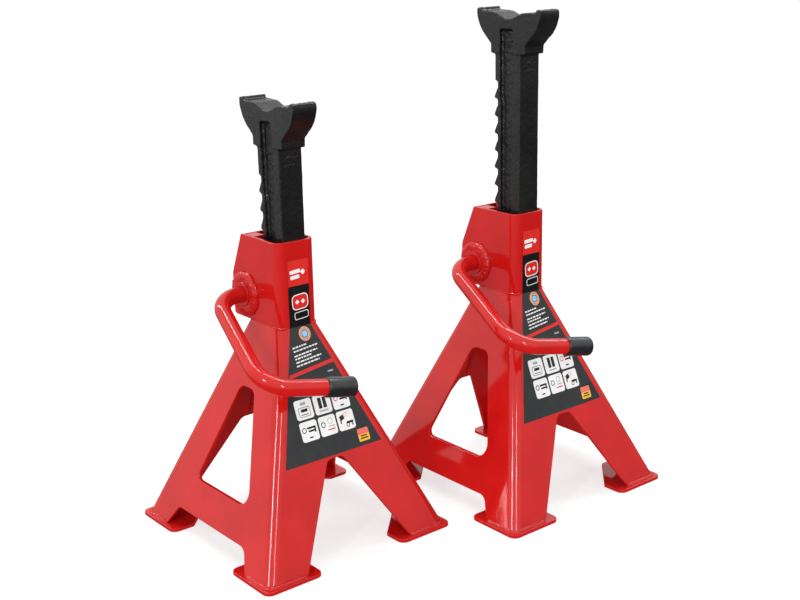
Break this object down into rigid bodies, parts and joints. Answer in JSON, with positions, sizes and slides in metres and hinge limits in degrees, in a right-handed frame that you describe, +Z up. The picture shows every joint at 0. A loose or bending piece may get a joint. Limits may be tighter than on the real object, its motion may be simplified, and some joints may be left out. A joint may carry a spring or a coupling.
{
  "type": "axle stands",
  "caption": "Pair of ratchet axle stands: four-legged red steel bases, black cast ratchet columns with axle saddles, and side handles that work the pawls.",
  "frame": {"origin": "on the floor, at the middle of the box of the pair with stand A at its fourth and stand B at its eighth tooth", "axes": "+Z up, -Y the front of both stands (label side), -X the handle side"},
  "size_m": [0.5878, 0.378, 0.6301],
  "materials": {
    "red_enamel": "gloss red enamel on pressed and welded steel",
    "black_iron": "ductile iron casting under semi-gloss black paint",
    "grip_rubber": "smooth black rubber sleeve",
    "label_vinyl": "printed vinyl label",
    "zinc_steel": "zinc-plated fastener steel"
  },
  "bodies": {
    "frames": {"a_base_left_half": "red_enamel", "a_base_right_half": "red_enamel", "a_base_seam_welds": "red_enamel", "a_boss_left": "red_enamel", "a_boss_right": "red_enamel", "a_boss_welds": "red_enamel", "a_collar_weld": "red_enamel", "a_foot_plate_front_left": "red_enamel", "a_foot_plate_front_right": "red_enamel", "a_foot_plate_rear_left": "red_enamel", "a_foot_plate_rear_right": "red_enamel", "a_foot_welds": "red_enamel", "a_guide_pads": "red_enamel", "a_housing_back_cover": "red_enamel", "a_housing_channel": "red_enamel", "a_housing_top_plates": "red_enamel", "a_label": "label_vinyl", "a_lower_guide": "red_enamel", "b_base_left_half": "red_enamel", "b_base_right_half": "red_enamel", "b_base_seam_welds": "red_enamel", "b_boss_left": "red_enamel", "b_boss_right": "red_enamel", "b_boss_welds": "red_enamel", "b_collar_weld": "red_enamel", "b_foot_plate_front_left": "red_enamel", "b_foot_plate_front_right": "red_enamel", "b_foot_plate_rear_left": "red_enamel", "b_foot_plate_rear_right": "red_enamel", "b_foot_welds": "red_enamel", "b_guide_pads": "red_enamel", "b_housing_back_cover": "red_enamel", "b_housing_channel": "red_enamel", "b_housing_top_plates": "red_enamel", "b_label": "label_vinyl", "b_lower_guide": "red_enamel"},
    "column_a": {"a_ratchet_column": "black_iron", "a_stop_pin": "zinc_steel"},
    "handle_a": {"a_handle_bar": "red_enamel", "a_handle_grip": "grip_rubber", "a_shaft_washer": "zinc_steel", "a_shaft_clip": "zinc_steel", "a_pawl": "red_enamel", "a_pawl_pin": "zinc_steel"},
    "column_b": {"b_ratchet_column": "black_iron", "b_stop_pin": "zinc_steel"},
    "handle_b": {"b_handle_bar": "red_enamel", "b_handle_grip": "grip_rubber", "b_shaft_washer": "zinc_steel", "b_shaft_clip": "zinc_steel", "b_pawl": "red_enamel", "b_pawl_pin": "zinc_steel"}
  },
  "joints": [
    {"name": "column_a_slide", "type": "slide", "parent": "frames", "child": "column_a", "axis": [0, 0, 1], "range_m": [-0.0675, 0.2025]},
    {"name": "handle_a_lift", "type": "hinge", "parent": "frames", "child": "handle_a", "pos_m": [-0.1545, 0.0833, 0.2992], "axis": [-1, 0, 0], "range_deg": [0, 12]},
    {"name": "column_b_slide", "type": "slide", "parent": "frames", "child": "column_b", "axis": [0, 0, 1], "range_m": [-0.1575, 0.1125]},
    {"name": "handle_b_lift", "type": "hinge", "parent": "frames", "child": "handle_b", "pos_m": [0.1545, 0.0003, 0.2992], "axis": [-1, 0, 0], "range_deg": [0, 12]}
  ]
}
